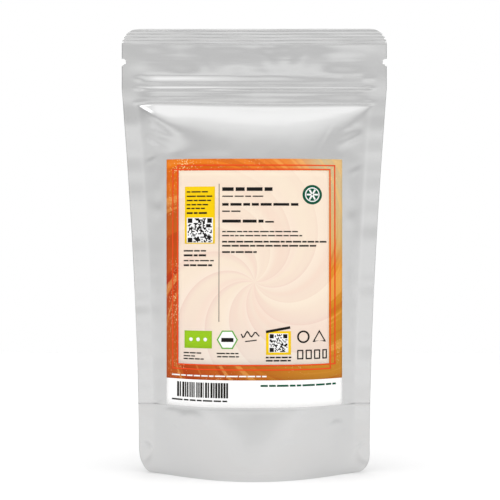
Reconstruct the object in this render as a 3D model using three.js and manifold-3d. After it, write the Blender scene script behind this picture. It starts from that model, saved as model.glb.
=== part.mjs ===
// A stand-up pouch of silver laminate film, filled with a fine powder, with a paper label on its front.
// Millimetres, +Z up. The origin is the middle of the base, the front faces -Y, and X runs across the pouch.
// Two wall films are welded along both sides and the top, and a folded film between them opens into the base.
// A press-to-close zip runs across the pouch below the top weld. Above it the films lie flat on each other.
import * as THREE from "three";
import { mergeVertices } from "three/addons/utils/BufferGeometryUtils.js";
import Module from "manifold-3d";

const wasm = await Module();
wasm.setup();

// Driving dimensions
const filmWidth = 160; // of the flat pouch, which shows at the top
const pouchHeight = 268;
const baseDepth = 62; // front to back, where the pouch stands
const baseFlare = { out: 3.5, height: 80 }; // how much the open base spreads the foot of each wall
const roundBase = 46; // each wall is rounder from side to side below here
const shoulder = { foot: 197, depth: 15.5, slope: 0.85 }; // where each wall turns in to the zip
const sideWeld = 8.5; // width of each welded side edge
const topWeld = 10;
const weldThickness = 0.6; // two films
const topCornerRadius = 10;
const leftCorner = { wide: 7.4, high: 16 }; // the two round base corners, narrowed as the film turns away there
const rightCorner = { wide: 6.8, high: 10 };
const baseCornerLift = 1; // how far the outer ends of the base edge stand off the table
const gussetHeight = 40; // where the folded base film meets the side welds
const gussetFlat = 0.42; // share of the half width where the base film lies on the table
const skirt = 1; // thickness of the walls below the base film
const pocketEnd = 0.95; // share of the half width where the space under the base film ends

const zipBottom = 222;
const zipTop = 239.5;
const drawnTop = 232; // the filling draws the side welds inwards up to here
const zipBars = [
  { at: 233, half: 1.1, rise: 1.5 }, // the two rails that press together
  { at: 227.5, half: 1.6, rise: 0.7 }, // the tape below them
];
const zipTapeRise = 0.6;
const tearNotch = { at: 248.2, depth: 2.5, height: 3.4 };
const topRibs = { count: 5, rise: 0.22 };

const labelWidth = 104.5; // between its upright sides
const labelHeight = 146;
const labelMiddle = 115.5; // height of its centre
const labelThickness = 0.4;
const labelGap = 0.3; // clear of the film, so that the two solids don't touch

const acrossSteps = 26; // of the wall film between the side welds
const bellySteps = 24; // of the wall film between the table and the zip

// Shape of the filled film

const smooth = (t) => {
  const c = Math.min(1, Math.max(0, t));
  return c * c * (3 - 2 * c);
};
const bump = (z, { at, half, rise }) => rise * (1 - smooth((Math.abs(z - at) - half / 2) / half));

// How far the filling pushes a wall out at the middle: most at the table, and least under the shoulder.
function wallDepth(z) {
  const up = Math.max(0, z) / shoulder.foot;
  const most = (baseDepth - weldThickness) / 2 - baseFlare.out;
  const flare = baseFlare.out * (1 - smooth(z / baseFlare.height));
  return shoulder.depth + (most - shoulder.depth) * (1 - up ** 1.2) + flare;
}

// Half the distance between the side welds. A wall film keeps its length, so its bulge draws the sides in.
function halfChord(z) {
  const film = filmWidth - 2 * sideWeld;
  const drawn = (baseDepth / 2) * Math.sqrt(Math.max(0, 1 - (z / drawnTop) ** 2));
  return (film + Math.sqrt(film * film - (32 / 3) * drawn * drawn)) / 4;
}

// The wall's bulge at a share s of the way from the middle to a side weld. It is fuller, and flatter in the
// middle, higher up, and it ends in a shoulder that slopes in to the zip.
function bulge(z, s) {
  if (z >= zipBottom || s >= 1) return 0;
  const fullness = 2 + 0.8 * smooth(z / roundBase);
  const higher = 0.9 * smooth((z - roundBase) / (shoulder.foot - roundBase));
  const across = wallDepth(z) * (1 - s ** (fullness + higher)) ** 1.2;
  const sloping = shoulder.slope * (zipBottom - z);
  return (across ** -3 + sloping ** -3) ** (-1 / 3);
}

// What stands on each wall above the belly: the zip's tape and rails, and the ribs of the top weld.
function relief(z, s) {
  const ends = 1 - smooth((s - 0.9) / 0.1); // crushed flat towards the side welds
  let rise = 0;
  if (z > zipBottom - 0.01 && z < zipTop + 0.01) rise += zipTapeRise * ends;
  for (const bar of zipBars) rise += bump(z, bar) * ends;
  const up = (z - (pouchHeight - topWeld)) / (topWeld / topRibs.count);
  if (up > 0) rise += topRibs.rise * Math.sin(Math.PI * (up % 1)) ** 2;
  return rise;
}

// The wall's distance from the middle plane, at the share s.
function wallOffset(z, s) {
  return weldThickness / 2 + bulge(z, s) + relief(z, s);
}

// Height of the base film over the table: flat in the middle, and up to the gusset's height at the welds.
const baseRise = (s) => gussetHeight * Math.max(0, (s - gussetFlat) / (1 - gussetFlat)) ** 1.6;

// Mesh and solid

// A box whose grid lines stand at the given shares across and levels up, with each point moved by place().
function blockOf(across, layers, levels, place) {
  const [nx, ny, nz] = [across, layers, levels].map((list) => list.length - 1);
  const box = new THREE.BoxGeometry(nx, ny, nz, nx, ny, nz);
  const at = box.getAttribute("position");
  for (let i = 0; i < at.count; i++) {
    const column = across[Math.round(at.getX(i) + nx / 2)];
    const layer = layers[Math.round(at.getY(i) + ny / 2)];
    const level = levels[Math.round(at.getZ(i) + nz / 2)];
    at.setXYZ(i, ...place(column, layer, level));
  }
  return box;
}

function solidOf(geometry) {
  const bare = geometry.clone();
  bare.deleteAttribute("normal");
  bare.deleteAttribute("uv");
  const merged = mergeVertices(bare, 1e-4);
  return new wasm.Manifold(
    new wasm.Mesh({
      numProp: 3,
      vertProperties: merged.getAttribute("position").array,
      triVerts: new Uint32Array(merged.index.array),
    }),
  );
}

function geometryOf(solid) {
  const mesh = solid.getMesh();
  const geometry = new THREE.BufferGeometry();
  geometry.setAttribute("position", new THREE.BufferAttribute(mesh.vertProperties, 3));
  geometry.setIndex(new THREE.BufferAttribute(mesh.triVerts, 1));
  geometry.computeVertexNormals();
  return geometry;
}

const spread = (from, to, steps) =>
  Array.from({ length: steps + 1 }, (_, i) => from + ((to - from) * i) / steps);

// The upright prism of an outline drawn in X and Z, wide enough to pass through the whole pouch.
function prismOf(outline) {
  const depth = 2 * baseDepth;
  const flat = new THREE.ExtrudeGeometry(outline, { depth, bevelEnabled: false, curveSegments: 10 });
  flat.translate(0, 0, -depth / 2);
  flat.rotateX(Math.PI / 2);
  return solidOf(flat);
}

// The pouch

// Closed body of both walls. A column is a signed share of the half width: past 1 it lies in a side weld.
function filledFilm() {
  const quarterWave = (t) => Math.sin((t * Math.PI) / 2);
  const across = [-2, ...spread(-1, 1, acrossSteps).map(quarterWave), 2];
  const filled = spread(0, 1, bellySteps).map((t) => zipBottom * quarterWave(t));
  const levels = [
    ...filled,
    ...spread(zipBottom + 0.8, zipTop, 13),
    zipTop + 0.8,
    tearNotch.at,
    ...spread(pouchHeight - topWeld, pouchHeight, 2 * topRibs.count),
  ];
  return blockOf(across, [-1, 1], levels, (column, side, z) => {
    const s = Math.min(1, Math.abs(column));
    const x = s * halfChord(z) + (Math.abs(column) > 1 ? sideWeld : 0);
    return [Math.sign(column) * x, side * wallOffset(z, s), z];
  });
}

// The space under the base film, between the walls.
function underBase() {
  const outward = spread(gussetFlat, pocketEnd, 10);
  const pocket = (across) =>
    solidOf(
      blockOf(across, spread(-1, 1, 4), [0, 1], (column, side, level) => {
        const s = Math.abs(column);
        const z = level ? baseRise(s) : -1;
        const wall = wallOffset(Math.max(0, z), s) - skirt;
        return [column * halfChord(Math.max(0, z)), side * wall, z];
      }),
    );
  return pocket(outward).add(pocket(outward.map((s) => -s).reverse()));
}

// Front view of the die-cut pouch: round corners, and base ends that stand a little off the table.
function dieCut() {
  const side = filmWidth / 2;
  const topCorner = pouchHeight - topCornerRadius;
  const foot = halfChord(0) + sideWeld;
  const [leftHeel, rightHeel] = [leftCorner, rightCorner].map((corner) => baseCornerLift + corner.high);
  const [leftToe, rightToe] = [leftCorner, rightCorner].map((corner) => foot - corner.wide);
  const outline = new THREE.Shape();
  outline.moveTo(-foot / 2, 0);
  outline.lineTo(foot / 2, 0);
  outline.quadraticCurveTo(rightToe * 0.8, 0, rightToe, baseCornerLift);
  outline.absellipse(rightToe, rightHeel, rightCorner.wide, rightCorner.high, -Math.PI / 2, 0);
  outline.lineTo(side, zipBottom);
  outline.lineTo(side, topCorner);
  outline.absarc(side - topCornerRadius, topCorner, topCornerRadius, 0, Math.PI / 2);
  outline.absarc(-side + topCornerRadius, topCorner, topCornerRadius, Math.PI / 2, Math.PI);
  outline.lineTo(-side, zipBottom);
  outline.lineTo(-foot, leftHeel);
  outline.absellipse(-leftToe, leftHeel, leftCorner.wide, leftCorner.high, Math.PI, 1.5 * Math.PI);
  outline.quadraticCurveTo(-leftToe * 0.8, 0, -foot / 2, 0);
  return prismOf(outline);
}

// A round-ended slot in one side edge, where the pouch is torn open.
function notch(sign) {
  const radius = tearNotch.height / 2;
  const inner = filmWidth / 2 - tearNotch.depth + radius;
  const slot = new THREE.Shape();
  slot.moveTo(filmWidth / 2 + 1, tearNotch.at - radius);
  slot.lineTo(filmWidth / 2 + 1, tearNotch.at + radius);
  slot.lineTo(inner, tearNotch.at + radius);
  slot.absarc(inner, tearNotch.at, radius, Math.PI / 2, (3 * Math.PI) / 2);
  const prism = prismOf(slot);
  return sign > 0 ? prism : prism.rotate([0, 0, 180]);
}

function pouch() {
  const body = solidOf(filledFilm())
    .intersect(dieCut())
    .subtract(underBase())
    .subtract(notch(1).add(notch(-1)));
  const film = new THREE.MeshStandardMaterial({ color: 0xc6c6c8, roughness: 0.34, metalness: 0.9 });
  const mesh = new THREE.Mesh(geometryOf(body), film);
  mesh.name = "pouch";
  return mesh;
}

// The label

// Lies on the front wall and bends with it, with its sides upright.
function label() {
  const across = spread(-0.5, 0.5, 18);
  const levels = spread(labelMiddle - labelHeight / 2, labelMiddle + labelHeight / 2, 20);
  const sheet = blockOf(across, [-1, 1], levels, (column, side, z) => {
    const x = column * labelWidth;
    const lift = side < 0 ? labelGap + labelThickness : labelGap;
    return [x, -(wallOffset(z, Math.abs(x) / halfChord(z)) + lift), z];
  });
  const paper = new THREE.MeshStandardMaterial({ color: 0xe9b27c, roughness: 0.5, metalness: 0 });
  const mesh = new THREE.Mesh(geometryOf(solidOf(sheet)), paper);
  mesh.name = "label";
  return mesh;
}

const group = new THREE.Group();
group.add(pouch(), label());

export default group;
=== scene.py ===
import math
import random

import bmesh
import bpy
from mathutils import Matrix, Vector, noise


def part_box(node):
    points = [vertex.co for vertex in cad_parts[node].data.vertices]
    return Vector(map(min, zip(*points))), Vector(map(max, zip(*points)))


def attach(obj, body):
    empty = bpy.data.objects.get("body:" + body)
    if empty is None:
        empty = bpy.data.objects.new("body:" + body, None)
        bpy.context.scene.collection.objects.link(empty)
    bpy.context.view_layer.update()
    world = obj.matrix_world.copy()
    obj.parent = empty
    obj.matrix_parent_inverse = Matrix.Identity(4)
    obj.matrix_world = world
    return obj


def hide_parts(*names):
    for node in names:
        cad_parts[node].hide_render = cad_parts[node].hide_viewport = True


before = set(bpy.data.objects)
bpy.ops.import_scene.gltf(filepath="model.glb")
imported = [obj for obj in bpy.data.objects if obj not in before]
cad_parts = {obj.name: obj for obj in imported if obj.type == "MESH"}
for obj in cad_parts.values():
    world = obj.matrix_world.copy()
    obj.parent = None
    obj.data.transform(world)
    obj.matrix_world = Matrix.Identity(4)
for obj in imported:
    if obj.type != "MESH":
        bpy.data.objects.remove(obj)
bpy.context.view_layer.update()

# ---------------------------------------------------------------------------------------------------------
# The two wall films. Each is one sheet of silver laminate: polyester over aluminium over polyethylene. They
# are welded to each other down both sides and along the top, and the powder between them pushes them apart.
# Sizes here are in millimetres, and each mesh is brought to metres when it is done.

mm = 0.001
pouch_low, pouch_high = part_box("pouch")
flat_width = (pouch_high.x - pouch_low.x) / mm
pouch_height = pouch_high.z / mm
base_depth = (pouch_high.y - pouch_low.y) / mm
label_low, label_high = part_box("label")
label_width = (label_high.x - label_low.x) / mm
label_bottom, label_top = label_low.z / mm, label_high.z / mm
film_thickness = 0.24
side_weld = 8.5  # width of each welded side edge
zip_low, zip_high = 222.0, 240.0
top_weld = 258.5  # lower edge of the ribbed weld
rib_pitch = 1.9
drawn_top = 232.0  # the filling draws the side welds inwards up to this height
shoulder_foot = 197.0  # where the shoulder under the zip has turned into the upright wall
shoulder_depth, shoulder_slope = 15.5, 0.85
round_base = 46.0  # each wall is rounder from side to side below this height
base_flare, flare_height = 3.5, 80.0  # how much, and how far up, the open gusset spreads a wall's foot
base_flare_from = base_depth / 2 - base_flare
gusset_fold = 41.5  # height of the base film's fold in the side welds
top_corner = 10.0
left_base_corner, right_base_corner = (16.5, 7.4), (11.0, 6.8)  # height and width of each round corner
corner_lift = 0.8  # how far the outer ends of the base edge stand off the table
notch_height, notch_radius, notch_straight = 248.2, 1.7, 0.8


def smooth_step(low, high, value):
    """0 up to low, 1 from high on, and an even curve between them."""
    t = min(1.0, max(0.0, (value - low) / (high - low)))
    return t * t * (3 - 2 * t)


def hump(distance, half_width):
    """A rounded ridge's profile, 1 on its line and fading over its half width."""
    return math.exp(-((distance / half_width) ** 2))


def weld_line(z):
    """How far from the middle a side weld begins. The film keeps its length, so its bulge draws it in."""
    drawn = base_depth / 2 * math.sqrt(max(0, 1 - (z / drawn_top) ** 2))
    flat = flat_width - 2 * side_weld
    return (flat + math.sqrt(flat**2 - 32 / 3 * drawn**2)) / 4


def wall_depth(z):
    """How far the middle of a wall stands out below the shoulder: most at the base, where powder settles."""
    above_shoulder = 1 - (max(0, z) / shoulder_foot) ** 1.2
    flare = base_flare * (1 - smooth_step(0, flare_height, z))
    return shoulder_depth + (base_flare_from - shoulder_depth) * above_shoulder + flare


def zip_edge(u):
    """Height of the zip's lower edge, which sags right of the middle. u runs to the viewer's left."""
    return zip_low + 0.2 - 1.4 * (1 - ((u + 16) / 88) ** 2)


def bulge(u, z):
    """The filled part of a wall. Its upper end is a shoulder that slopes from the zip to the upright wall.

    The shoulder meets the sides of the belly in a diagonal crease, which is sharpest at the viewer's left.
    """
    share = abs(u) / weld_line(z)
    below_zip = zip_edge(u) - z
    if below_zip <= 0 or share >= 1:
        return 0.0
    power = 2 + 0.8 * smooth_step(0, round_base, z) + 0.9 * smooth_step(round_base, shoulder_foot, z)
    across = wall_depth(z) * (1 - share**power) ** 1.2
    slope = shoulder_slope * below_zip
    sharp = 3 + 3 * smooth_step(34, 58, u) - 0.9 * smooth_step(16, 54, -u)
    out = (across**-sharp + slope**-sharp) ** (-1 / sharp)
    return out * out / (out + 0.4)


def rise(low, high, z):
    """A step in a wall: 0 above high, and standing out by 1 below low."""
    return 1 - smooth_step(low, high, z)


def zip_relief(u, z, strength):
    """The zip between the films: a tape whose upper edge shows, two rails, and ends crushed in the welds.

    The strip is twisted, so that it leans forward at the viewer's left and hardly shows at the right.
    """
    left, right = smooth_step(-4, 52, u), smooth_step(16, 58, -u)
    tape = (0.1 + 0.8 * smooth_step(-60, 0, u) + 1.2 * strength * left) * rise(235.7, 240.3, z)
    upper_rail = 0.38 * rise(232.2, 232.9, z) * smooth_step(230.4, 232.2, z)
    upper_rail += strength * left * rise(230.4, 233.2, z)
    lower_rail = 0.08 * hump(z - 229.0, 0.8) + 0.8 * strength * left * rise(226.4, 230.3, z)
    lower_edge = 0.8 * strength * right * rise(223.2, 229.8, z) - 0.3 * hump(z - zip_edge(u) - 0.8, 0.6)
    ends = 1 - smooth_step(58, 73, abs(u))
    crushed = hump(z - 238.0, 1.6) + hump(z - 232.2, 1.1) + hump(z - 223.4, 1.3)
    pinch = 0.3 * hump(abs(u) - 69, 3.2) * crushed
    fades = smooth_step(192, zip_low, z)
    return (ends * (tape + upper_rail + lower_rail + lower_edge) + pinch) * fades


def fold(u, z, start, end, width, height):
    """A crease from start to end: a ridge with a hollow on its upper side, which fades out at both ends."""
    run, up = end[0] - start[0], end[1] - start[1]
    length = math.hypot(run, up)
    along = ((u - start[0]) * run + (z - start[1]) * up) / length**2
    if not -0.5 < along < 1.5:
        return 0.0
    across = ((z - start[1]) * run - (u - start[0]) * up) / length
    across = across if run > 0 else -across
    fade = smooth_step(-0.25, 0.35, along) * (1 - smooth_step(0.6, 1.3, along))
    return height * fade * (hump(across, width) - 0.7 * hump(across - 1.7 * width, width))


def dent(u, z, centre, radii, depth):
    """A dent with a flat floor and soft sides, or a bump where the depth is negative."""
    away = ((u - centre[0]) / radii[0]) ** 2 + ((z - centre[1]) / radii[1]) ** 2
    return -depth * math.exp(-1.5 * away * away)


# Folds: start and end, to the viewer's left and up, then half width and height.
# Dents: centre, radii and depth, which is below 0 for a bump.
front_folds = [
    ((70, 205), (50, 196), 3.0, 0.4),
    ((-67, 205), (-52, 198), 2.6, 0.45),
    ((-47, 208), (-38, 192), 0.8, 0.22),
    ((68, 162), (56, 156), 3.6, 0.35),
    ((68, 186), (60, 189), 1.2, 0.25),
    ((-69, 186), (-58, 180), 1.6, 0.2),
    ((-69, 157), (-57, 150), 3.8, 0.35),
    ((66, 40), (55, 43), 1.2, 0.3),
    ((-66, 40), (-56, 43), 1.2, 0.25),
    ((56, 33), (44, 26), 2.2, 0.38),
]
front_dents = [
    ((49, 36), (9, 5), -0.35),
    ((37.5, 33.5), (8.5, 6.5), -0.45),
    ((-49, 28.5), (6, 5), -0.6),
    ((54, 13), (8, 12), 0.4),
    ((-55, 12), (8, 10), 0.35),
    ((-24, 16), (12, 8), -0.2),
    ((62, 100), (5, 22), 0.45),
    ((-61, 118), (5, 18), 0.45),
    ((60, 66), (4, 16), 0.35),
    ((-62, 70), (4, 18), 0.35),
]
back_folds = [
    ((71, 218), (50, 208), 2.2, 0.4),
    ((69, 200), (50, 194), 3.2, 0.5),
    ((-69, 207), (-50, 199), 3.4, 0.55),
    ((66, 171), (53, 164), 3.6, 0.5),
    ((-67, 150), (-54, 145), 4.0, 0.55),
    ((-58, 186), (6, 166), 4.6, 0.5),
    ((18, 128), (66, 101), 4.4, 0.5),
    ((-62, 92), (-18, 68), 4.6, 0.5),
    ((-52, 28), (-44, 19), 1.6, 0.5),
    ((66, 40), (55, 43), 1.2, 0.3),
    ((-66, 40), (-55, 43), 1.2, 0.3),
]
back_dents = [
    ((-45, 34), (10, 7), -0.4),
    ((50, 30), (8, 7), -0.4),
    ((61, 110), (5, 20), 0.6),
    ((-61, 95), (5, 22), 0.6),
    ((-12, 96), (24, 26), 1.5),
    ((22, 148), (20, 20), 1.3),
    ((-34, 140), (14, 24), 1.1),
    ((30, 62), (18, 14), 1.2),
]
# Buckles and folds of both films together above the zip, seen from the front, in the same order of numbers.
header_buckles = [
    ((11.5, 248.5), (7.5, 7), -0.5),
    ((-18, 248.5), (9, 7), -0.55),
    ((-37, 249), (6.5, 6), -0.4),
    ((-56, 248.5), (14, 8), 1.0),
    ((46, 249), (11, 7.5), 0.8),
    ((68, 252), (6, 7), -0.2),
    ((0, 261), (17, 4.5), -0.5),
    ((-66, 261), (10, 4.5), -0.35),
]
header_folds = [
    ((-22, 241), (-33, 258), 3.0, 0.2),
    ((-3, 258), (-14, 240), 3.0, 0.16),
    ((29, 241), (34, 257), 3.0, 0.2),
]
base_weld_low, base_weld_high = 6, 40  # height of the curved base weld in the middle and at its ends
base_weld_reach = 61  # how far from the middle its ends are
moon_centre, moon_radii = (67.4, 12.8), (5.8, 6.8)  # of the half-moon pressed into each base corner


def weld_curve(x):
    """Height of the curved weld that joins the base film to a wall."""
    return base_weld_low + (base_weld_high - base_weld_low) * min(1, abs(x) / base_weld_reach) ** 2.6


def pressed_marks(x, z):
    """What shows on a wall's lower end: the gusset's fold, the curved base weld and the half-moons."""
    side_only = smooth_step(48, 62, abs(x))
    mark = 0.3 * (side_only - 0.1) * hump(z - gusset_fold, 0.55)
    mark += 0.12 * smooth_step(-0.4, 0.4, gusset_fold - z) * side_only
    mark -= 0.05 * hump(z - weld_curve(x), 1.2) * (1 - smooth_step(50, 58, abs(x)))
    outward, above = (abs(x) - moon_centre[0]) / moon_radii[0], (z - moon_centre[1]) / moon_radii[1]
    wedge = 0.1 + 0.5 * smooth_step(-1.0, 1.2, -outward - above)
    return mark + wedge * (1 - smooth_step(0.85, 1.1, math.hypot(outward, above)))


def uneven(x, y, seed):
    """A smooth, even noise between -1 and 1."""
    return noise.noise(Vector((x, y, seed)))


def drift(x, z):
    """How far both films together stand off the middle plane.

    The side welds wave, the films buckle above the zip, the top edge bows, and the top weld has fine ribs.
    """
    edge = smooth_step(0.8, 1.1, abs(x) / weld_line(z)) * smooth_step(10, 40, z)
    wave = uneven(math.copysign(3, x), z / 30, 0.4) + 0.5 * uneven(math.copysign(7, x), z / 12, 2.1)
    welds = edge * wave * (1 - smooth_step(zip_low, zip_high, z))
    header = smooth_step(zip_high - 1, zip_high + 6, z)
    buckle = 0.4 * uneven(x / 22, z / 15, 5.0)
    for centre, radii, depth in header_buckles:
        buckle += depth * hump(math.hypot((-x - centre[0]) / radii[0], (z - centre[1]) / radii[1]), 1)
    buckle -= sum(fold(-x, z, *each) for each in header_folds) * (1 - smooth_step(255, 260, z))
    bow = -0.4 * smooth_step(zip_high, pouch_height, z) * math.sin(x / 40)
    wander = 0.5 * uneven(x / 25, 0.0, 3.3) + 0.08 * uneven(x / 5, 0.0, 8.1)
    height = 0.12 + 0.1 * uneven(x / 26, z / 2.2, 6.0)
    inside = smooth_step(top_weld - 0.5, top_weld + 0.2, z)
    ribs = inside * (height * math.cos((z + wander - top_weld) * 2 * math.pi / rib_pitch) - 0.05)
    return welds + header * buckle + bow + ribs


def held_by_label(x, z):
    """1 where the label keeps the film under it smooth."""
    sides = 1 - smooth_step(label_width / 2 + 0.5, label_width / 2 + 4, abs(x))
    foot = smooth_step(label_bottom - 4, label_bottom - 0.5, z)
    return sides * foot * (1 - smooth_step(label_top + 0.5, label_top + 5, z))


def wall_offset(x, z, side):
    """How far a wall's outer face stands off the middle plane. The front is side -1 and the back side 1."""
    u = x * side
    front = side < 0
    folds, dents, seed = (front_folds, front_dents, 11.0) if front else (back_folds, back_dents, 47.0)
    inside = 1 - smooth_step(0.86, 0.99, abs(x) / weld_line(z))
    loose = inside * (1 - held_by_label(x, z)) if front else inside
    creased = sum(fold(u, z, *each) for each in folds) + sum(dent(u, z, *each) for each in dents)
    ripple = 0.28 * uneven(x / 17, z / 30, seed) + 0.09 * uneven(x / 6, z / 9, seed)
    ripple *= 0.35 + 0.65 * smooth_step(20, 80, z)  # the powder holds the foot smooth
    crinkle = 0.035 * uneven(x / 20, z / 1.5, seed) * smooth_step(196, 204, z)
    below_weld = 1 - smooth_step(top_weld - 6, top_weld - 1, z)
    parted = 0.3 * inside * below_weld * smooth_step(238, 242, z)  # the films lie loosely above the zip
    out = bulge(u, z) + zip_relief(u, z, 1.0 if front else 0.55) + pressed_marks(x, z)
    out += loose * below_weld * (creased + ripple + crinkle) + parted
    return film_thickness + (out + math.sqrt(out * out + 0.01)) / 2


def outline(z, hand):
    """Half width of the die-cut pouch, with round corners and tear notches. Hand is below 0 at the left."""
    half = min(flat_width / 2, weld_line(z) + side_weld)
    if z > pouch_height - top_corner:
        half -= top_corner - math.sqrt(max(0, top_corner**2 - (z - pouch_height + top_corner) ** 2))
    if abs(z - notch_height) < notch_radius:
        half -= notch_straight + math.sqrt(notch_radius**2 - (z - notch_height) ** 2)
    heel, toe = left_base_corner if hand < 0 else right_base_corner
    if z < heel:
        half -= toe * (1 - math.sqrt(max(0, 1 - ((heel - z) / heel) ** 2)))
    return half


def spread(low, high, count):
    """Evenly spaced heights from low up to, but without, high."""
    return [low + (high - low) * i / count for i in range(count)]


# The rows of a wall's grid stand closer where the shape is finer: at the base corners, the gusset's fold, the
# shoulder, the zip, the tear notches and the ribs.
row_heights = [15 * (1 - math.cos(math.pi / 2 * i / 18)) for i in range(18)]
row_heights += spread(15, 40, 22) + spread(40, 43, 8) + spread(43, 190, 112) + spread(190, zip_low - 2, 36)
row_heights += spread(zip_low - 2, zip_high + 1, 56)
row_heights += spread(zip_high + 1, notch_height - notch_radius - 0.1, 6)
row_heights += [notch_height + notch_radius * math.sin(math.pi * (i / 12 - 0.5)) for i in range(13)]
row_heights += spread(250.0, top_weld - 1, 10) + spread(top_weld - 1, pouch_height, 44) + [pouch_height]
weld_columns, belly_columns = 8, 116
least_weld = 0.4  # width that a round corner leaves of a side weld


def wall_film(name, side):
    """One wall, from a flat grid that is drawn out to the pouch's outline and then pushed into shape."""
    columns, rows = belly_columns + 2 * weld_columns, len(row_heights) - 1
    sheet = bmesh.new()
    bmesh.ops.create_grid(sheet, x_segments=columns, y_segments=rows, size=1)
    for v in sheet.verts:
        column = v.co.x * columns / 2
        height = row_heights[round((v.co.y + 1) / 2 * rows)]
        edge = outline(height, column)
        reach = min(weld_line(height), edge - least_weld)
        x = reach * min(1, abs(column) / (belly_columns / 2))
        x += (edge - reach) * max(0, abs(column) - belly_columns / 2) / weld_columns
        x = math.copysign(x, column)
        z = height + corner_lift * smooth_step(54, 68, abs(x)) * (1 - smooth_step(0, 15, height))
        v.co = Vector((x, side * wall_offset(x, z, side) + drift(x, z), z)) * mm
    sheet.normal_update()
    if sum(f.normal.y * f.calc_area() for f in sheet.faces) * side < 0:
        bmesh.ops.reverse_faces(sheet, faces=sheet.faces)
    return finished(name, sheet, film_thickness)


def finished(name, bm, thickness=0.0):
    """Makes the piece's object, smooth shaded, with its film or paper grown inwards from the outer face."""
    mesh = bpy.data.meshes.new(name)
    bm.to_mesh(mesh)
    bm.free()
    mesh.shade_smooth()
    piece = bpy.data.objects.new(name, mesh)
    bpy.context.scene.collection.objects.link(piece)
    if thickness:
        grown = piece.modifiers.new("thickness", "SOLIDIFY")
        grown.thickness = thickness * mm
        grown.offset = -1
    return piece


def node(tree, kind, inputs=None, **settings):
    """Adds a shader node. An input is a value, or an output of another node to link from."""
    made = tree.nodes.new(kind)
    for key, value in settings.items():
        setattr(made, key, value)
    for key, value in (inputs or {}).items():
        if isinstance(value, bpy.types.NodeSocket):
            tree.links.new(value, made.inputs[key])
        else:
            made.inputs[key].default_value = value
    return made


def new_material(name):
    """An empty material with its tree, its main shader and its Object coordinates."""
    material = bpy.data.materials.new(name)
    material.use_nodes = True
    tree = material.node_tree
    shader = tree.nodes["Principled BSDF"]
    place = tree.nodes.new("ShaderNodeTexCoord").outputs["Object"]
    return material, tree, shader, place


def clouds(tree, where, scale, detail):
    """A soft random pattern of values around 0.5."""
    pattern = node(tree, "ShaderNodeTexNoise", {"Vector": where, "Scale": scale, "Detail": detail})
    return pattern.outputs["Fac"]


def blend_colours(tree, share, first, second):
    """A mix of two colours or colour outputs."""
    mix = node(tree, "ShaderNodeMix", {"Factor": share, 6: first, 7: second}, data_type="RGBA")
    return mix.outputs[2]


def remap(tree, value, low, high, at_low=0.0, at_high=1.0, kind="LINEAR"):
    """The value's run from low to high, as a run from at_low to at_high, and held at both ends."""
    ends = {"Value": value, "From Min": low, "From Max": high, "To Min": at_low, "To Max": at_high}
    return node(tree, "ShaderNodeMapRange", ends, interpolation_type=kind).outputs["Result"]


def silver_film(name):
    """Satin aluminium under clear polyester: an even silver, with a faint grain and slightly uneven gloss."""
    material, tree, shader, place = new_material(name)
    shader.inputs["Metallic"].default_value = 1
    cloud = clouds(tree, place, 26, 3)
    tone = blend_colours(tree, cloud, (0.58, 0.58, 0.58, 1), (0.62, 0.62, 0.617, 1))
    tree.links.new(tone, shader.inputs["Base Color"])
    tree.links.new(remap(tree, cloud, 0.0, 1.0, 0.21, 0.29), shader.inputs["Roughness"])
    bump = node(tree, "ShaderNodeBump", {"Height": clouds(tree, place, 900, 2), "Strength": 0.06,
                                         "Distance": 0.0001})
    tree.links.new(bump.outputs["Normal"], shader.inputs["Normal"])
    return material


laminate = silver_film("silver_laminate")
front_film = wall_film("front_film", -1)
back_film = wall_film("back_film", 1)
for wall in (front_film, back_film):
    wall.data.materials.append(laminate)
    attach(wall, "root")
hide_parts("pouch")

# ---------------------------------------------------------------------------------------------------------
# The base film. A third sheet, folded upwards between the walls and welded to each along a curve. The filling
# presses its middle flat on the table, and its fold still climbs the side welds at both ends.

base_film_thickness = 0.12
gusset_flat = 0.42  # share of the half width where the film lies on the table
gusset_reach = 0.985  # share of the half width where it is lost in the side welds
gusset_lift, gusset_inset = 0.15, 0.45  # over the table for its own thickness, and inside each wall film
gusset_columns, gusset_rows = 96, 28


def base_height(share, toward_wall):
    """The base film's height over the table, from the middle line out to its weld on a wall."""
    middle = base_weld_high * max(0, (share - gusset_flat) / (1 - gusset_flat)) ** 1.6
    weld = max(middle, weld_curve(base_weld_reach * share) - 1.0)
    return gusset_lift + middle + (weld - middle) * smooth_step(0.72, 1.0, toward_wall) ** 1.5


gusset = bmesh.new()
bmesh.ops.create_grid(gusset, x_segments=gusset_columns, y_segments=gusset_rows, size=1)
for v in gusset.verts:
    share = gusset_reach * math.sin(v.co.x * math.pi / 2)
    z = base_height(abs(share), abs(v.co.y))
    x = share * (weld_line(z) - 0.6)
    side = -1 if v.co.y < 0 else 1
    inner = max(0.05, wall_offset(x, z, side) - film_thickness - gusset_inset)
    v.co = Vector((x, v.co.y * inner + drift(x, z), z)) * mm
gusset.normal_update()
if sum(f.normal.z * f.calc_area() for f in gusset.faces) > 0:
    bmesh.ops.reverse_faces(gusset, faces=gusset.faces)
base_film = finished("base_film", gusset, base_film_thickness)
base_film.data.materials.append(laminate)
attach(base_film, "root")

# ---------------------------------------------------------------------------------------------------------
# The label: a sheet of white coated paper, stuck to the front wall below the zip and bent with it. All the
# prints on it are made flat, in millimetres from the label's left and top edges, and then laid on the label.

label_height = label_top - label_bottom
label_lift = 0.3  # clear of the film
paper_thickness, print_thickness = 0.1, 0.03
print_step = 2.0  # width of a print's faces, which is fine enough to bend with the label


def label_face(x, z):
    """The point of the front wall under a point of the label."""
    return Vector((x, -(film_thickness + bulge(-x, z)), z))


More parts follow.
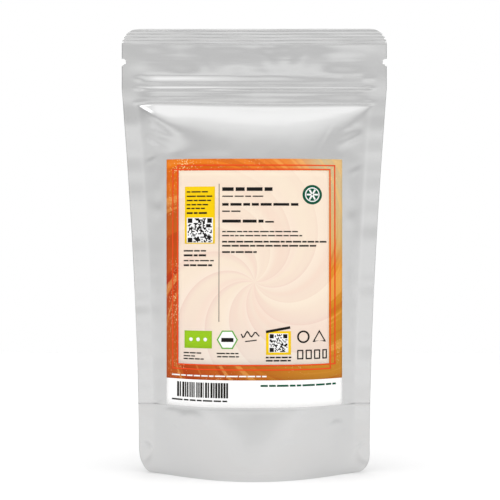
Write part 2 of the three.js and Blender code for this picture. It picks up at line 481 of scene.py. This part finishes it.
def lay_on_label(bm, lift):
    """Moves a flat print from the label's own millimetres to its place on the pouch."""
    for v in bm.verts:
        x, z = v.co.x - label_width / 2, label_top - v.co.y
        here = label_face(x, z)
        outward = (label_face(x + 0.5, z) - here).cross(label_face(x, z + 0.5) - here).normalized()
        v.co = (here + outward * (label_lift + lift + v.co.z)) * mm


def add_rectangle(bm, left, top, right, bottom):
    """A flat rectangle, cut up to bend with the label."""
    across = max(1, math.ceil((right - left) / print_step))
    down = max(1, math.ceil((bottom - top) / (2 * print_step)))
    made = bmesh.ops.create_grid(bm, x_segments=across, y_segments=down, size=0.5)["verts"]
    bmesh.ops.scale(bm, vec=(right - left, bottom - top, 1), verts=made)
    bmesh.ops.translate(bm, vec=((left + right) / 2, (top + bottom) / 2, 0), verts=made)


def label_mesh():
    """A mesh that holds prints, with a map for patterns that follow the label."""
    bm = bmesh.new()
    bm.loops.layers.uv.new("print")
    return bm


def place_print(name, bm, lift, material, thickness=print_thickness):
    """Lays a print on the label, and makes it a piece that rides with the pouch."""
    for face in bm.faces:
        for loop in face.loops:
            from_left, from_top = loop.vert.co.x / label_width, loop.vert.co.y / label_height
            loop[bm.loops.layers.uv["print"]].uv = (from_left, 1 - from_top)
    lay_on_label(bm, lift)
    bm.normal_update()
    bmesh.ops.reverse_faces(bm, faces=[f for f in bm.faces if f.normal.y > 0])
    piece = finished(name, bm, thickness)
    piece.data.materials.append(material)
    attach(piece, "root")
    return piece


def srgb(red, green, blue):
    """A printed colour, from its usual values of 0 to 255, as the shader wants it."""
    parts = [c / 255 for c in (red, green, blue)]
    return tuple(c / 12.92 if c <= 0.04045 else ((c + 0.055) / 1.055) ** 2.4 for c in parts) + (1.0,)


def satin(tree, shader, colour, roughness):
    """Gives a print its colour and the low sheen of coated paper."""
    tree.links.new(colour, shader.inputs["Base Color"])
    shader.inputs["Roughness"].default_value = roughness
    shader.inputs["Specular IOR Level"].default_value = 0.1


def ink(name, colour):
    """Plain printed ink, with a faint unevenness of the print."""
    material, tree, shader, place = new_material(name)
    thin_ink = tuple(c * 0.95 for c in colour[:3]) + (1,)
    satin(tree, shader, blend_colours(tree, clouds(tree, place, 1400, 1), thin_ink, colour), 0.48)
    return material


white_paper = ink("white_paper", srgb(253, 253, 252))
paper = label_mesh()
add_rectangle(paper, 0, 0, label_width, label_height)
label_sheet = place_print("label_sheet", paper, 0, white_paper, paper_thickness)
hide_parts("label")

# ---------------------------------------------------------------------------------------------------------
# The label's printed grounds: an orange and ochre field down to the white strip, a cream panel on it, both
# with the same whirl of curved blades, and two thin frames, one set a little up and right of the other.

field_bottom = 130.2
panel_left, panel_top, panel_right, panel_bottom = 7.5, 7.0, 96.2, 121.1
frame_line = 0.7
whirl_arms, whirl_turn = 11, 2.6  # the turn is in radians for each decimetre from the middle
stroke_spread = 3.4  # how finely the brush strokes part round the whirl

# How far each layer of print lies off the paper. The white strip's own print lies straight on the paper.
field_lift, panel_lift, block_lift, mark_lift, code_lift = 0.04, 0.08, 0.12, 0.16, 0.2
strip_lift = 0.06


def print_map(tree):
    """The label's own map, its place across from the left, and its place up from the bottom."""
    where = node(tree, "ShaderNodeUVMap", uv_map="print").outputs["UV"]
    split = node(tree, "ShaderNodeSeparateXYZ", {"Vector": where})
    return where, split.outputs["X"], split.outputs["Y"]


def calc(tree, operation, first, second=0.0, third=0.5):
    """One sum on numbers or outputs."""
    return node(tree, "ShaderNodeMath", {0: first, 1: second, 2: third}, operation=operation).outputs[0]


def ramp(tree, share, stops):
    """A run of colours."""
    made = node(tree, "ShaderNodeValToRGB", {"Fac": share})
    while len(made.color_ramp.elements) < len(stops):
        made.color_ramp.elements.new(0.5)
    for element, (position, colour) in zip(made.color_ramp.elements, stops):
        element.position = position
        element.color = colour
    return made.outputs["Color"]


def whirl(tree, where):
    """Curved blades that turn out from the middle: the place across a blade, and a map for brush strokes."""
    middle, decimetres = (0.5, 0.5, 0), (label_width / 100, label_height / 100, 0)
    centred = node(tree, "ShaderNodeVectorMath", {0: where, 1: middle}, operation="SUBTRACT").outputs[0]
    scaled = node(tree, "ShaderNodeVectorMath", {0: centred, 1: decimetres}, operation="MULTIPLY").outputs[0]
    split = node(tree, "ShaderNodeSeparateXYZ", {"Vector": scaled})
    angle = calc(tree, "ARCTAN2", split.outputs["Y"], split.outputs["X"])
    reach = node(tree, "ShaderNodeVectorMath", {0: scaled}, operation="LENGTH").outputs["Value"]
    wound = calc(tree, "SUBTRACT", angle, calc(tree, "MULTIPLY", reach, whirl_turn))
    round_x = calc(tree, "MULTIPLY", calc(tree, "COSINE", wound), stroke_spread)
    round_y = calc(tree, "MULTIPLY", calc(tree, "SINE", wound), stroke_spread)
    strokes = node(tree, "ShaderNodeCombineXYZ", {"X": round_x, "Y": round_y, "Z": reach}).outputs[0]
    return calc(tree, "FRACT", calc(tree, "MULTIPLY", wound, whirl_arms / (2 * math.pi))), strokes


field_ink, tree, shader, place = new_material("orange_field")
where, across, up = print_map(tree)
left_tones = ramp(tree, up, [
    (0.12, srgb(172, 62, 16)),
    (0.3, srgb(176, 62, 16)),
    (0.5, srgb(176, 46, 12)),
    (0.78, srgb(182, 82, 20)),
    (0.97, srgb(212, 90, 10)),
])
right_tones = ramp(tree, up, [
    (0.12, srgb(188, 124, 34)),
    (0.36, srgb(194, 128, 26)),
    (0.56, srgb(216, 140, 44)),
    (0.68, srgb(210, 174, 112)),
    (0.9, srgb(204, 182, 138)),
])
tones = blend_colours(tree, remap(tree, across, 0.1, 0.95, kind="SMOOTHSTEP"), left_tones, right_tones)
top_part, left_part = remap(tree, up, 0.8, 0.96), remap(tree, across, 0.66, 0.9, 0.85, 0.0, "SMOOTHSTEP")
tones = blend_colours(tree, calc(tree, "MULTIPLY", top_part, left_part), tones, srgb(230, 116, 10))
blade, strokes = whirl(tree, where)
tones = blend_colours(tree, calc(tree, "MULTIPLY", blade, 0.14), tones, srgb(246, 168, 60))
streaks = clouds(tree, strokes, 1.7, 2)
tones = blend_colours(tree, remap(tree, streaks, 0.56, 0.6, 0.0, 0.32), tones, srgb(250, 190, 100))
tones = blend_colours(tree, remap(tree, streaks, 0.44, 0.4, 0.0, 0.34), tones, srgb(186, 70, 16))
dots = node(tree, "ShaderNodeTexVoronoi", {"Vector": place, "Scale": 1000}, feature="F1").outputs["Distance"]
patches = calc(tree, "MULTIPLY", calc(tree, "SUBTRACT", clouds(tree, place, 34, 2), 0.46), 1.4)
speck = calc(tree, "LESS_THAN", dots, patches)
tones = blend_colours(tree, calc(tree, "MULTIPLY", speck, 0.7), tones, srgb(254, 226, 168))
satin(tree, shader, tones, 0.45)
field = label_mesh()
add_rectangle(field, 0, 0, label_width, field_bottom)
place_print("label_field", field, field_lift, field_ink)

panel_ink, tree, shader, _ = new_material("cream_panel")
where, _, up = print_map(tree)
blade, strokes = whirl(tree, where)
cream = ramp(tree, blade, [
    (0.0, srgb(232, 206, 192)),
    (0.12, srgb(235, 213, 198)),
    (0.6, srgb(238, 219, 202)),
    (1.0, srgb(242, 226, 211)),
])
cream = blend_colours(tree, remap(tree, up, 0.3, 0.95, 0.0, 0.7), cream, srgb(245, 225, 203))
streaks = clouds(tree, strokes, 0.75, 1.5)
cream = blend_colours(tree, remap(tree, streaks, 0.5, 0.66, 0.0, 0.4), cream, srgb(244, 230, 207))
cream = blend_colours(tree, remap(tree, streaks, 0.5, 0.34, 0.0, 0.45), cream, srgb(238, 208, 192))
cream = blend_colours(tree, remap(tree, up, 0.36, 0.17, 0.0, 0.55), cream, srgb(225, 216, 206))
satin(tree, shader, cream, 0.45)
panel = label_mesh()
add_rectangle(panel, panel_left, panel_top, panel_right, panel_bottom)
place_print("label_panel", panel, panel_lift, panel_ink)

frames = label_mesh()
for left, top, right, bottom in ((6.5, 3.5, 100.3, 121.9), (3.6, 5.9, 97.4, 124.5)):
    add_rectangle(frames, left, top, right, top + frame_line)
    add_rectangle(frames, left, bottom - frame_line, right, bottom)
    add_rectangle(frames, left, top + frame_line, left + frame_line, bottom - frame_line)
    add_rectangle(frames, right - frame_line, top + frame_line, right, bottom - frame_line)
place_print("label_frames", frames, block_lift, ink("frame_red", srgb(240, 76, 30)))

# ---------------------------------------------------------------------------------------------------------
# The label's plain blocks and marks, each in one ink: a yellow block, a thin rule, a green disc with a slice
# of fruit, a lime box, a six-sided badge, a wave, a box with a lid, a ring, a triangle and four empty frames.

dark_ink = ink("dark_ink", srgb(24, 22, 20))
yellow_ink = ink("yellow_ink", srgb(247, 206, 4))
white_ink = ink("white_ink", srgb(253, 253, 252))
lime_ink = ink("lime_ink", srgb(150, 196, 30))
green_ink = ink("green_ink", srgb(10, 82, 58))


def rotation(angle):
    """A turn in the label's plane."""
    return Matrix.Rotation(angle, 3, "Z")


def add_mesh(bm, other):
    """Joins a finished flat shape to a print."""
    copy = bpy.data.meshes.new("part")
    other.to_mesh(copy)
    other.free()
    bm.from_mesh(copy)
    bpy.data.meshes.remove(copy)


def add_disc(bm, centre, radius, hole=0.0, sides=40, start=0.0):
    """A flat disc or ring, from a spoke that is spun round, fine enough to bend with the label."""
    rings = max(1, math.ceil((radius - hole) / 1.5))
    disc = bmesh.new()
    spoke = [disc.verts.new((hole + (radius - hole) * i / rings, 0, 0)) for i in range(rings + 1)]
    edges = [disc.edges.new(pair) for pair in zip(spoke, spoke[1:])]
    bmesh.ops.spin(disc, geom=spoke + edges, cent=(0, 0, 0), axis=(0, 0, 1), angle=2 * math.pi, steps=sides,
                   use_merge=True)
    bmesh.ops.remove_doubles(disc, verts=disc.verts, dist=1e-4)
    bmesh.ops.rotate(disc, verts=disc.verts, cent=(0, 0, 0), matrix=rotation(start))
    bmesh.ops.translate(disc, verts=disc.verts, vec=(centre[0], centre[1], 0))
    add_mesh(bm, disc)


def add_stroke(bm, points, width):
    """A line of even width through the given points, whose bars are a little longer to close its corners."""
    for (x0, y0), (x1, y1) in zip(points, points[1:]):
        length = math.hypot(x1 - x0, y1 - y0)
        bar = bmesh.new()
        bmesh.ops.create_grid(bar, x_segments=max(1, math.ceil(length / print_step)), y_segments=1, size=0.5)
        bmesh.ops.scale(bar, vec=(length + width * 0.6, width, 1), verts=bar.verts)
        bmesh.ops.rotate(bar, verts=bar.verts, cent=(0, 0, 0), matrix=rotation(math.atan2(y1 - y0, x1 - x0)))
        bmesh.ops.translate(bar, verts=bar.verts, vec=((x0 + x1) / 2, (y0 + y1) / 2, 0))
        add_mesh(bm, bar)


def add_frame(bm, left, top, right, bottom, width):
    """An empty box of four lines."""
    half = width / 2
    left, top, right, bottom = left + half, top + half, right - half, bottom - half
    add_stroke(bm, [(left, top), (right, top), (right, bottom), (left, bottom), (left, top)], width)


yellow = label_mesh()
add_rectangle(yellow, 11.2, 16.5, 29.0, 50.3)
place_print("yellow_block", yellow, block_lift, yellow_ink)

rule = label_mesh()
add_rectangle(rule, 31.2, 14.9, 31.7, 96.2)
place_print("upright_rule", rule, block_lift, ink("rule_ink", srgb(140, 128, 118)))

disc_x, disc_y = 86.4, 21.3
disc = label_mesh()
add_disc(disc, (disc_x, disc_y), 5.8)
place_print("green_disc", disc, block_lift, green_ink)
slice_print = label_mesh()
add_disc(slice_print, (disc_x, disc_y), 4.3, hole=3.7, sides=32)
for i in range(6):
    turn = i * math.pi / 3
    root, tip = ((disc_x + far * math.cos(turn), disc_y + far * math.sin(turn)) for far in (0.8, 3.1))
    add_stroke(slice_print, [root, tip], 1.0)
place_print("fruit_slice", slice_print, mark_lift, white_ink)

lime = label_mesh()
add_rectangle(lime, 11.1, 101.5, 27.4, 111.8)
place_print("lime_box", lime, block_lift, lime_ink)
lime_dots = label_mesh()
for i in range(3):
    add_disc(lime_dots, (15.0 + 4.25 * i, 106.6), 1.1, sides=20)
place_print("lime_box_dots", lime_dots, mark_lift, white_ink)

badge_centre = (36.4, 106.6)
badge = label_mesh()
add_disc(badge, badge_centre, 6.0, sides=6)
place_print("badge_face", badge, block_lift, white_ink)
badge_edge = label_mesh()
add_disc(badge_edge, badge_centre, 6.2, hole=5.4, sides=6)
place_print("badge_edge", badge_edge, mark_lift, ink("badge_green", srgb(96, 172, 60)))

lidded = label_mesh()
add_rectangle(lidded, 59.0, 101.6, 73.6, 115.4)
place_print("lidded_box", lidded, block_lift, yellow_ink)

marks = label_mesh()
add_rectangle(marks, 32.9, 105.5, 40.0, 107.9)
wave = [(44.6 + 0.86 * i, 103.4 + 2.0 * math.sin(i * 1.15) * (1 - 0.04 * i)) for i in range(13)]
add_stroke(marks, wave, 0.7)
add_stroke(marks, [(47.0, 107.6), (53.4, 106.8)], 0.6)
add_stroke(marks, [(59.4, 101.9), (72.7, 99.5)], 1.5)
add_disc(marks, (80.9, 105.0), 3.7, hole=2.7, sides=32)
add_disc(marks, (90.4, 105.8), 4.7, hole=3.3, sides=3, start=-math.pi / 2)
for left, wide in ((77.2, 3.7), (82.2, 3.7), (87.2, 3.7), (92.2, 2.8)):
    add_frame(marks, left, 112.6, left + wide, 118.2, 0.75)
place_print("small_marks", marks, mark_lift, dark_ink)

# ---------------------------------------------------------------------------------------------------------
# The label's small print and codes. Real words and codes are left off: rows of plain dashes stand where words
# would, the two square codes are random blocks, and the bar code is random bars.

draw = random.Random(7)
shortest_word, longest_word = 1.4, 4.2  # in row heights, as are the space under a word and the gap after it
word_foot, word_gap = 0.12, 0.42


def add_words(bm, left, top, right, bottom, weight):
    """A row of plain dashes, one for each word. Weight is their share of the row's height."""
    height = bottom - top
    x = left
    while x < right - height:
        end = min(right, x + height * draw.uniform(shortest_word, longest_word))
        add_rectangle(bm, x, bottom - height * (word_foot + weight), end, bottom - height * word_foot)
        x = end + word_gap * height


# The rows in the right column, in the left column, under the marks, and on the yellow block.
words = label_mesh()
for left, top, right, bottom, weight in (
    (33.3, 16.6, 64.7, 19.5, 0.74),
    (33.3, 20.7, 57.8, 22.9, 0.3),
    (33.3, 25.7, 78.4, 28.2, 0.62),
    (33.3, 29.6, 44.0, 31.8, 0.34),
    (33.3, 35.5, 57.6, 38.2, 0.64),
    (58.6, 35.5, 63.7, 38.2, 0.34),
    (33.3, 42.3, 78.5, 43.7, 0.5),
    (33.3, 44.7, 80.3, 46.1, 0.5),
    (33.3, 48.4, 94.8, 49.8, 0.68),
    (33.3, 50.8, 90.4, 52.2, 0.68),
    (33.3, 54.5, 53.6, 55.9, 0.72),
    (10.6, 53.6, 23.8, 55.1, 0.56),
    (10.6, 56.3, 24.6, 57.9, 0.7),
    (10.6, 59.3, 28.4, 60.8, 0.46),
    (10.6, 62.2, 27.4, 63.7, 0.7),
    (10.6, 113.9, 21.1, 115.1, 0.6),
    (10.6, 115.8, 17.4, 116.9, 0.6),
    (10.6, 117.4, 22.6, 118.6, 0.6),
    (30.2, 113.9, 42.9, 115.1, 0.6),
    (30.5, 115.8, 43.2, 117.0, 0.6),
    (58.9, 116.3, 73.8, 117.5, 0.75),
    (58.9, 118.2, 73.5, 119.4, 0.75),
    (12.3, 18.8, 24.8, 20.2, 0.56),
    (12.3, 21.4, 28.0, 22.8, 0.56),
    (12.3, 23.9, 27.8, 25.3, 0.56),
    (12.3, 26.4, 25.7, 27.8, 0.56),
    (12.3, 28.6, 24.5, 30.0, 0.56),
    (12.3, 31.4, 24.3, 32.9, 0.7),
):
    add_words(words, left, top, right, bottom, weight)
place_print("dark_print", words, mark_lift, dark_ink)

pale_words = label_mesh()
add_words(pale_words, 3.4, 126.9, 59.4, 128.5, 0.5)
place_print("pale_print", pale_words, block_lift, white_ink)

green_words = label_mesh()
add_words(green_words, 55.8, 132.3, 100.5, 134.1, 0.62)
place_print("green_print", green_words, strip_lift, green_ink)

code_ground = label_mesh()
add_rectangle(code_ground, 12.4, 34.9, 27.9, 49.7)
add_rectangle(code_ground, 60.6, 102.9, 72.0, 114.0)
place_print("code_ground", code_ground, mark_lift, white_ink)


corner_cells = 4  # width of the plain block in three corners of a square code


def add_code(bm, left, top, size, cells):
    """A square of random cells, with a plain block in three of its corners and a free line beside each."""
    cell = size / cells
    plain = corner_cells * cell
    for row in range(cells):
        for column in range(cells):
            corner = max(min(row, cells - 1 - row), min(column, cells - 1 - column)) <= corner_cells
            if (corner and min(row, column) <= corner_cells) or draw.random() < 0.5:
                continue
            x, y = left + column * cell, top + row * cell
            add_rectangle(bm, x, y, x + cell, y + cell)
    for x, y in ((0, 0), (size - plain, 0), (0, size - plain)):
        add_rectangle(bm, left + x, top + y, left + x + plain, top + y + plain)


codes = label_mesh()
add_code(codes, 13.0, 35.3, 14.2, 21)
add_code(codes, 61.1, 103.3, 10.4, 17)
place_print("square_codes", codes, code_lift, dark_ink)

bars = label_mesh()
x = 6.6
while x < 36.6:
    thick = draw.choice((0.4, 0.8, 0.8, 1.2))
    add_rectangle(bars, x, 131.8, min(x + thick, 36.9), 140.6)
    x += thick + draw.choice((0.4, 0.4, 0.8))
add_words(bars, 3.4, 141.2, 36.4, 143.0, 0.5)
place_print("bar_code", bars, strip_lift, dark_ink)

# ---------------------------------------------------------------------------------------------------------
# The room: a plain white table top that ends half a metre in front of the pouch, light from all round that is
# brightest overhead and level with the table, and dimmer from the sides and from behind, a large soft lamp on
# each side, and a camera straight in front of the pouch at half its height.

floor_half_width, floor_half_depth, floor_middle = 1.5, 0.69, 0.19
floor_mesh = bmesh.new()
bmesh.ops.create_grid(floor_mesh, x_segments=1, y_segments=1, size=floor_half_width)
bmesh.ops.scale(floor_mesh, verts=floor_mesh.verts, vec=(1, floor_half_depth / floor_half_width, 1))
bmesh.ops.translate(floor_mesh, verts=floor_mesh.verts, vec=(0, floor_middle, 0))
floor = finished("floor", floor_mesh)
floor_paint, tree, shader, _ = new_material("floor_paint")
shader.inputs["Base Color"].default_value = (0.97, 0.97, 0.97, 1)
shader.inputs["Roughness"].default_value = 0.8
floor.data.materials.append(floor_paint)

world = bpy.data.worlds.new("studio")
bpy.context.scene.world = world
world.use_nodes = True
sky = world.node_tree
toward = node(sky, "ShaderNodeTexCoord").outputs["Generated"]
aim = node(sky, "ShaderNodeSeparateXYZ", {"Vector": toward})
glow_levels = (  # height of the direction, from -1 straight down to 1 straight up, and its brightness
    (-0.5, 0.6),
    (-0.2, 0.8),
    (-0.1, 1.16),
    (-0.035, 1.4),
    (0.02, 1.16),
    (0.07, 1.1),
    (0.105, 1.03),
    (0.14, 0.8),
    (0.3, 0.79),
    (0.62, 1.13),
    (0.87, 1.42),
    (1.0, 2.2),
)
upward = calc(sky, "MULTIPLY_ADD", aim.outputs["Z"], 0.5, 0.5)
glow = ramp(sky, upward, [(height / 2 + 0.5, (light, light, light, 1)) for height, light in glow_levels])
brighter_right = calc(sky, "MULTIPLY_ADD", aim.outputs["X"], 0.03, 1.0)
dimmer_behind = remap(sky, aim.outputs["Y"], -0.8, 0.1, 1.0, 0.645)
strength = calc(sky, "MULTIPLY", brighter_right, dimmer_behind)
seen = node(sky, "ShaderNodeLightPath").outputs["Is Camera Ray"]
background = sky.nodes["Background"]
sky.links.new(blend_colours(sky, seen, glow, (1, 1, 1, 1)), background.inputs["Color"])
sky.links.new(calc(sky, "MAXIMUM", strength, seen), background.inputs["Strength"])

lamp_target = Vector((0, 0, 0.1))
lamp_size = 0.9


def soft_box(name, place, power):
    """A large square lamp that points at the pouch."""
    lamp = bpy.data.lights.new(name, "AREA")
    lamp.shape = "RECTANGLE"
    lamp.size = lamp.size_y = lamp_size
    lamp.energy = power
    stand = bpy.data.objects.new(name, lamp)
    stand.location = place
    stand.rotation_euler = (lamp_target - Vector(place)).to_track_quat("-Z", "Y").to_euler()
    bpy.context.scene.collection.objects.link(stand)


soft_box("left_light", (-1.1, -0.2, 1.2), 4.3)
soft_box("right_light", (1.1, -0.2, 1.2), 4.1)

bpy.context.scene.view_settings.view_transform = "Standard"
camera_data = bpy.data.cameras.new("camera")
camera_data.lens = 89.4
camera_data.sensor_width = 36
camera = bpy.data.objects.new("camera", camera_data)
camera.location = (-0.0026, -0.75, 0.1345)
camera.rotation_euler = (math.pi / 2, 0, 0)
bpy.context.scene.collection.objects.link(camera)
bpy.context.scene.camera = camera
